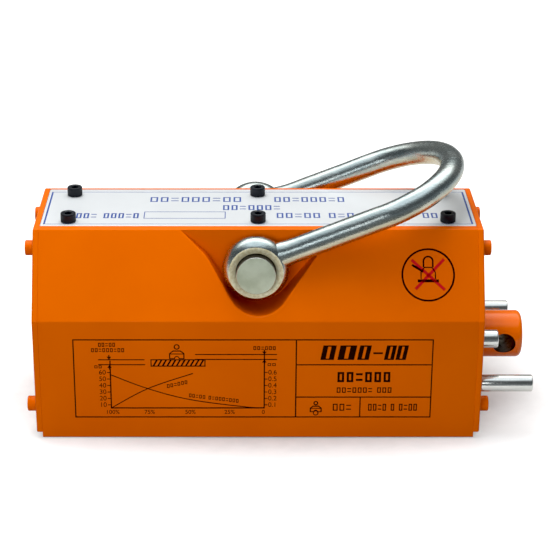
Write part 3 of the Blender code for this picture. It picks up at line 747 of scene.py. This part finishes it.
class Sheet:
    """A flat patch of a surface that print is laid on, in millimetres from its own origin."""

    def __init__(self, origin, right, up):
        self.origin, self.right, self.up = Vector(origin), Vector(right), Vector(up)
        self.out = self.right.cross(self.up)
        self.shape = bmesh.new()

    def at(self, point, lift):
        """The place in space of a point on the sheet, lifted off it."""
        return self.origin + self.right * point[0] + self.up * point[1] + self.out * lift

    def patch(self, outline):
        """A thin closed solid with this outline, sunk a little into the surface."""
        low = [self.shape.verts.new(self.at(point, -INK)) for point in outline]
        high = [self.shape.verts.new(self.at(point, INK)) for point in outline]
        self.shape.faces.new(low)
        self.shape.faces.new(high)
        for index in range(len(low)):
            after = (index + 1) % len(low)
            self.shape.faces.new((low[index], low[after], high[after], high[index]))

    def line(self, points, width):
        """A stroke through points."""
        left, right = [], []
        for index, point in enumerate(points):
            here = Vector(point)
            back = Vector(points[max(index - 1, 0)])
            forth = Vector(points[min(index + 1, len(points) - 1)])
            into = (here - back).normalized() if index else (forth - here).normalized()
            onto = (forth - here).normalized() if index < len(points) - 1 else into
            along = (into + onto).normalized()
            across = Vector((-along.y, along.x)) * (width / 2 / max(along.dot(into), 0.3))
            left.append(tuple(here + across))
            right.append(tuple(here - across))
        self.patch(left + right[::-1])

    def bar(self, left, right, low, high):
        """A filled rectangle."""
        self.patch([(left, low), (right, low), (right, high), (left, high)])

    def frame(self, left, right, low, high, width):
        """A rectangle drawn with lines."""
        half = width / 2
        self.bar(left - half, right + half, low - half, low + half)
        self.bar(left - half, right + half, high - half, high + half)
        for place in (left, right):
            self.bar(place - half, place + half, low + half, high - half)

    def ring(self, centre, radius, width, steps=96):
        """A circle drawn with a line, as two halves."""
        for start in (0.0, 180.0):
            outer = arc(centre, radius + width / 2, start, start + 180.0, steps // 2)
            inner = arc(centre, radius - width / 2, start + 180.0, start, steps // 2)
            self.patch(outer + inner)

    def words(self, counts, left, right, low, high, stroke, rise=0.0):
        """A row of blank marks in place of lettering: counts of marks, with gaps between words.

        stroke is the width of their lines, and rise is the slope of the row.
        """
        cells = sum(counts) + WORD_GAP * (len(counts) - 1)
        pitch = (right - left) / cells
        place = left
        number = 0
        for count in counts:
            for _ in range(count):
                number += 1
                lift = rise * (place - left)
                self.mark(place, place + pitch * MARK_WIDTH, low + lift, high + lift, stroke,
                          number)
                place += pitch
            place += pitch * WORD_GAP

    def mark(self, left, right, low, high, stroke, number):
        """One blank mark: a box, or two dashes for every fourth one."""
        if number % 4 == 3:
            for share in (0.22, 0.78):
                middle = low + (high - low) * share
                self.bar(left, right, middle - stroke / 2, middle + stroke / 2)
            return
        self.bar(left, left + stroke, low, high)
        self.bar(right - stroke, right, low, high)
        self.bar(left + stroke, right - stroke, low, low + stroke)
        self.bar(left + stroke, right - stroke, high - stroke, high)

    def slab(self, left, right, low, high, slant):
        """A bold leaning block with a slit in it, for the largest line."""
        wide = (right - left) * 0.38
        thick = 1.2
        for start, stop, bottom, top in ((left, left + wide, low, high),
                                         (right - wide, right, low, high),
                                         (left + wide, right - wide, low, low + thick),
                                         (left + wide, right - wide, high - thick, high)):
            near, far = slant * (bottom - low), slant * (top - low)
            self.patch([(start + near, bottom), (stop + near, bottom),
                        (stop + far, top), (start + far, top)])

    def numerals(self, text, place, height, align="CENTER"):
        """Scale figures of a height, in Blender's own typeface."""
        curve = bpy.data.curves.new("numerals", "FONT")
        curve.body = text
        curve.size = height / FIGURE_HEIGHT
        curve.extrude = INK
        curve.align_x = align
        curve.align_y = "CENTER"
        item = bpy.data.objects.new("numerals", curve)
        bpy.context.scene.collection.objects.link(item)
        mesh = bpy.data.meshes.new_from_object(item.evaluated_get(
            bpy.context.evaluated_depsgraph_get()))
        bpy.data.objects.remove(item)
        basis = Matrix((self.right, self.up, self.out)).transposed().to_4x4()
        mesh.transform(Matrix.Translation(self.at(place, 0.0)) @ basis)
        self.shape.from_mesh(mesh)
        bpy.data.meshes.remove(mesh)

    def finish(self, name, material):
        """Make the print one piece that rides on the body."""
        bmesh.ops.recalc_face_normals(self.shape, faces=self.shape.faces)
        piece(name, self.shape, (material,), "body")


def smooth(points, steps=10):
    """A Catmull-Rom curve through points."""
    rows = [points[0]] + list(points) + [points[-1]]
    curve = []
    for index in range(1, len(rows) - 2):
        a, b, c, d = (Vector(rows[index + shift]) for shift in (-1, 0, 1, 2))
        for step in range(steps):
            t = step / steps
            curve.append(tuple(0.5 * (2 * b + (c - a) * t + (2 * a - 5 * b + 4 * c - d) * t ** 2
                                      + (3 * b - a - 3 * c + d) * t ** 3)))
    return curve + [points[-1]]


def print_label():
    """A frame, rows of blank marks and an empty box on the label plate."""
    sheet = Sheet((0.0, 0.0, LABEL_HIGH.z), (1, 0, 0), (0, 1, 0))
    for side in (-1, 1):
        sheet.bar(side * 180.6 - 0.7, side * 180.6 + 0.7, -38.6, 39.7)
    sheet.bar(-179.9, 179.9, -38.6, -38.0)
    sheet.bar(-179.9, 179.9, 39.1, 39.7)
    sheet.words((9,), -93.6, -12.0, 15.0, 26.5, 1.4)
    sheet.words((8,), 14.5, 77.6, 15.0, 26.5, 1.4)
    sheet.words((7,), -30.0, 21.0, -5.0, 6.5, 1.4)
    sheet.words((3, 5), -155.0, -100.0, -24.5, -13.0, 1.4)
    sheet.frame(-97.0, -28.0, -25.0, -9.5, 0.7)
    sheet.words((5, 3), 16.0, 84.0, -24.0, -12.5, 1.4)
    sheet.words((2,), 140.5, 155.0, -24.0, -12.5, 1.4)
    sheet.finish("label_print", BLUE_INK)


def lifter_icon(sheet, x, z, size):
    """A small generic drawing of the magnet with its ring."""
    half = size / 2
    sheet.line([(x - half, z), (x - half, z + 0.42 * size),
                (x - 0.25 * size, z + 0.62 * size), (x + 0.25 * size, z + 0.62 * size),
                (x + half, z + 0.42 * size), (x + half, z)], 0.95)
    sheet.bar(x - half, x + half, z + 0.36 * size, z + 0.36 * size + 0.7)
    sheet.line([(x - half, z + 0.4), (x - 0.2 * size, z + 0.4)]
               + arc((x, z + 0.4), 0.16 * size, 180, 0, 8)
               + [(x + 0.2 * size, z + 0.4), (x + half, z + 0.4)], 0.8)
    sheet.ring((x, z + 0.93 * size), 0.17 * size, 0.95, steps=24)


def print_chart(sheet):
    """The load chart: two axes with figures, two curves, and a magnet over a hatched plate."""
    sheet.line([(-124.5, 73.0), (-124.5, 28.6), (5.2, 28.6), (5.2, 78.5)], 1.05)
    sheet.line(smooth([(-124.5, 28.6), (-93.2, 46.9), (-54.9, 61.2)]), 0.8)
    sheet.line(smooth([(-124.5, 60.0), (-93.2, 46.9), (-57.4, 36.5), (-10.4, 29.6),
                       (5.2, 28.8)]), 0.8)
    for step in range(6):
        z = 31.5 + step * 6.1
        sheet.bar(-127.4, -124.9, z - 0.35, z + 0.35)
        sheet.numerals(str(10 * (step + 1)), (-128.2, z), 4.4, "RIGHT")
        sheet.bar(5.6, 8.0, z - 0.35, z + 0.35)
        sheet.numerals(f"{0.1 * (step + 1):.1f}", (8.4, z), 4.4, "LEFT")
    for text, x in (("100%", -123.5), ("75%", -92.1), ("50%", -57.5), ("25%", -24.2),
                    ("0", 4.5)):
        sheet.numerals(text, (x, 24.6), 3.9)
    for left, right, z in ((-134.4, -95.5, 73.9), (-134.4, -95.0, 69.3), (-53.0, 15.8, 78.8),
                           (-53.0, 15.8, 74.2)):
        sheet.bar(left, right, z - 0.4, z + 0.4)
    for x, z, way in ((-125.3, 74.3, 1), (-125.0, 68.8, -1), (5.2, 79.1, 1), (5.2, 73.8, -1)):
        sheet.patch([(x, z - way * 0.4), (x - 1.9, z + way * 2.4), (x + 1.9, z + way * 2.4)])
        sheet.bar(x - 0.5, x + 0.5, *sorted((z + way * 2.4, z + way * 4.0)))
    sheet.frame(-90.0, -44.7, 68.0, 73.9, 0.9)
    for step in range(11):
        x = -88.0 + step * 3.9
        sheet.patch([(x - 0.8, 68.3), (x + 0.8, 68.3), (x + 3.7, 73.6), (x + 2.1, 73.6)])
    lifter_icon(sheet, -68.3, 74.6, 12.0)
    sheet.words((5,), -134.0, -119.0, 86.0, 89.6, 0.65)
    sheet.words((9,), -140.0, -111.5, 81.0, 84.6, 0.65)
    sheet.words((6,), -4.0, 15.5, 83.0, 86.4, 0.65)
    sheet.words((2,), -137.7, -130.6, 66.0, 68.6, 0.55)
    sheet.words((2,), 8.0, 15.8, 68.2, 70.6, 0.55)
    sheet.words((6,), -77.0, -59.0, 47.6, 51.0, 0.6, 0.24)
    sheet.words((5, 9), -58.5, -15.8, 38.8, 42.2, 0.6, -0.13)


def print_panel(sheet):
    """The right panel: a bold line, rows of blank marks and a magnet drawing."""
    for left, right in ((52.2, 63.4), (66.5, 80.5), (83.0, 92.7), (105.5, 113.8), (115.2, 123.8)):
        sheet.slab(left, right, 73.8, 87.2, 0.18)
    sheet.bar(96.5, 104.5, 79.2, 80.8)
    sheet.words((6,), 66.9, 113.6, 53.0, 62.5, 1.9)
    sheet.words((7, 3), 66.5, 114.0, 43.0, 48.0, 0.85)
    lifter_icon(sheet, 49.0, 24.6, 9.2)
    sheet.ring((49.0, 23.8), 2.0, 0.8, steps=24)
    sheet.words((3,), 63.5, 80.5, 26.0, 32.5, 0.9)
    sheet.words((4, 1, 4), 93.5, 136.0, 26.0, 32.5, 0.9)


def print_front():
    """The framed print on the front of the body."""
    sheet = Sheet((0.0, -HALF_WIDTH, 0.0), (1, 0, 0), (0, 0, 1))
    sheet.frame(-155.0, 146.3, 20.0, 92.3, 1.0)
    sheet.bar(31.4, 32.5, 20.5, 91.8)
    sheet.bar(32.5, 145.8, 68.7, 69.7)
    sheet.bar(32.5, 145.8, 38.4, 39.4)
    sheet.bar(86.0, 87.0, 20.5, 38.4)
    print_chart(sheet)
    print_panel(sheet)
    sheet.finish("front_print", BLACK_INK)


def print_mark():
    """A ring with a plain magnet drawing and a cross, on the slope beside the shackle."""
    slope = math.atan2(BODY_HEIGHT - RIDGE_HEIGHT, HALF_WIDTH - TOP_HALF_WIDTH)
    place = ((141.8, -68.93, 143.2), (1, 0, 0), (0.0, math.cos(slope), math.sin(slope)))
    drawing = Sheet(*place)
    drawing.ring((0.0, 0.0), 21.6, 1.5)
    drawing.line([(-3.9, 6.5)] + arc((0.0, 11.5), 3.9, 180, 0, 12) + [(3.9, 6.5)], 1.3)
    drawing.line([(-6.0, -3.5), (-6.0, 2.0), (-3.2, 6.3), (3.2, 6.3), (6.0, 2.0),
                  (6.0, -3.5)], 0.9)
    drawing.bar(-8.8, 8.8, -6.2, -3.8)
    drawing.line([(-13.5, 8.4), (-4.0, 2.6)], 1.8)
    drawing.finish("slope_mark", BLACK_INK)
    cross = Sheet(*place)
    cross.line([(-13.8, 12.6), (13.8, -12.6)], 2.5)
    cross.line([(13.3, 13.2), (-10.6, -12.0)], 2.5)
    cross.finish("slope_cross", RED_INK)


# Studio.

TABLE_EDGE = -0.34
TABLE_HALF_SIZE = 4.0
TABLE_DROP = 0.0003          # below the magnet's underside
CAMERA_PLACE = (MIDDLE - 10.5 * MM, -1.4318, 0.718)
CAMERA_DIP = 22.872          # degrees below level
LENS = 116.05
LENS_SHIFT = 0.0533


def ladder(tree, factor, steps, tint=(0.95, 1.0, 1.04)):
    """Greys that change with a factor, from (place, value) steps, under a slight tint."""
    ramp = node(tree, "ShaderNodeValToRGB", links={"Fac": factor})
    stops = ramp.color_ramp.elements
    for stop, (place, value) in zip(stops, (steps[0], steps[-1])):
        stop.position = place
        stop.color = (*(value * part for part in tint), 1.0)
    for place, value in steps[1:-1]:
        stops.new(place).color = (*(value * part for part in tint), 1.0)
    return ramp.outputs["Color"]


def build_world():
    """Plain white behind the object; around it a room that is bright overhead and behind."""
    world = bpy.data.worlds.new("studio")
    bpy.context.scene.world = world
    world.use_nodes = True
    tree = world.node_tree
    tree.nodes.clear()
    ray = node(tree, "ShaderNodeLightPath").outputs["Is Camera Ray"]
    way = node(tree, "ShaderNodeTexCoord").outputs["Generated"]
    parts = node(tree, "ShaderNodeSeparateXYZ", links={"Vector": way})
    front = ladder(tree, parts.outputs["Z"], (
        (0.0, 0.08), (0.01, 0.10), (0.15, 0.09), (0.28, 0.045), (0.60, 0.045), (0.76, 0.08),
        (0.85, 0.30), (0.90, 0.46), (0.94, 0.62), (1.0, 0.50)))
    back = ladder(tree, parts.outputs["Z"], (
        (0.0, 0.07), (0.30, 0.07), (0.50, 0.08), (0.64, 0.32), (0.72, 1.25), (0.90, 1.25),
        (1.0, 0.75)), (1.03, 1.0, 0.96))
    behind = rescale(tree, parts.outputs["Y"], 0.0, 0.9, 0.0, 0.4)
    soft = node(tree, "ShaderNodeBackground", {"Strength": 2.2},
                {"Color": mingle(tree, behind, front, back)})
    plain = node(tree, "ShaderNodeBackground", {"Color": (1.0, 1.0, 1.0, 1.0), "Strength": 1.05})
    mix = node(tree, "ShaderNodeMixShader", links={0: ray, 1: soft.outputs[0], 2: plain.outputs[0]})
    node(tree, "ShaderNodeOutputWorld", links={"Surface": mix.outputs[0]})


def softbox(name, place, target, size, power, mirrored=True):
    """A rectangular light; when it isn't mirrored, shiny surfaces don't show it."""
    data = bpy.data.lights.new(name, "AREA")
    data.shape = "RECTANGLE"
    data.size, data.size_y = size
    data.energy = power
    item = bpy.data.objects.new(name, data)
    item.visible_glossy = mirrored
    item.location = place
    item.rotation_euler = (Vector(target) - Vector(place)).to_track_quat("-Z", "Y").to_euler()
    bpy.context.scene.collection.objects.link(item)


def build_floor():
    """A white table that ends in front of the magnet.

    It is pale to the camera, where it glows more the farther from the magnet as painted light, a
    little dimmer in reflections, and throws little light back up.
    """
    mesh = bpy.data.meshes.new("floor")
    shape = bmesh.new()
    bmesh.ops.create_grid(shape, x_segments=4, y_segments=4, size=TABLE_HALF_SIZE)
    bmesh.ops.translate(shape, verts=shape.verts,
                        vec=(0.0, TABLE_HALF_SIZE + TABLE_EDGE, -TABLE_DROP))
    shape.to_mesh(mesh)
    shape.free()
    floor = bpy.data.objects.new("floor", mesh)
    bpy.context.scene.collection.objects.link(floor)
    paper = bpy.data.materials.new("floor_paper")
    paper.use_nodes = True
    tree = paper.node_tree
    tree.nodes.clear()
    fibre = grain(tree, 60.0)
    dim = node(tree, "ShaderNodeBsdfDiffuse",
               links={"Color": blend(tree, fibre, (0.20, 0.20, 0.19), (0.24, 0.24, 0.23))})
    mirrored = node(tree, "ShaderNodeBsdfDiffuse",
                    links={"Color": blend(tree, fibre, (0.70, 0.70, 0.69), (0.74, 0.74, 0.73))})
    pale = node(tree, "ShaderNodeBsdfDiffuse",
                links={"Color": blend(tree, fibre, (0.61, 0.61, 0.61), (0.65, 0.65, 0.65))})
    place = node(tree, "ShaderNodeMapping", {"Scale": (0.476, 1.0, 0.0)},
                 {"Vector": node(tree, "ShaderNodeTexCoord").outputs["Object"]}).outputs[0]
    away = node(tree, "ShaderNodeVectorMath", links={0: place}, operation="LENGTH").outputs["Value"]
    # Painted light: to the camera the table glows, weakly by the magnet and more away from it,
    # lightening it past the contact shadow.
    painted_floor_glow = node(tree, "ShaderNodeEmission", {"Color": (1.0, 1.0, 1.0, 1.0)},
                {"Strength": rescale(tree, away, 0.19, 0.65, 0.088, 0.16)})
    shown = node(tree, "ShaderNodeAddShader", links={0: pale.outputs[0], 1: painted_floor_glow.outputs[0]})
    ray = node(tree, "ShaderNodeLightPath").outputs
    mix = dim
    for kind, other in (("Is Glossy Ray", mirrored), ("Is Camera Ray", shown)):
        mix = node(tree, "ShaderNodeMixShader",
                   links={0: ray[kind], 1: mix.outputs[0], 2: other.outputs[0]})
    node(tree, "ShaderNodeOutputMaterial", links={"Surface": mix.outputs[0]})
    mesh.materials.append(paper)


def build_camera():
    """The photograph's view: from the front, a little from above."""
    data = bpy.data.cameras.new("camera")
    data.lens = LENS
    data.shift_x = LENS_SHIFT
    camera = bpy.data.objects.new("camera", data)
    camera.location = CAMERA_PLACE
    camera.rotation_euler = (math.radians(90.0 - CAMERA_DIP), 0.0, 0.0)
    bpy.context.scene.collection.objects.link(camera)
    bpy.context.scene.camera = camera


def finish_carried_nodes():
    """Give every CAD node that is left the procedural finish of its own slot."""
    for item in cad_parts.values():
        for slot in item.material_slots:
            key = slot.material.name.split(".")[0]
            slot.material = CARRIED.get(key, STEEL)


build_poles()
build_covers()
build_label()
build_screws()
build_pins()
build_lever_shaft()
build_shackle()
print_label()
print_front()
print_mark()
finish_carried_nodes()
build_world()
build_floor()
softbox("overhead", (-0.18, 0.08, 1.3), (0.0, 0.0, 0.1), (0.7, 0.7), 9.6, mirrored=False)
softbox("fill", (-0.25, -1.2, 0.4), (0.0, 0.0, 0.1), (1.0, 0.3), 5.8, mirrored=False)
softbox("front_left", (-0.62, -1.85, 0.83), (0.0, 0.0, 0.15), (0.7, 0.5), 2.2)
build_camera()
view = bpy.context.scene.view_settings
view.view_transform = "Standard"
view.use_curve_mapping = True
view.curve_mapping.black_level = (0.006, 0.006, 0.006)
view.curve_mapping.update()
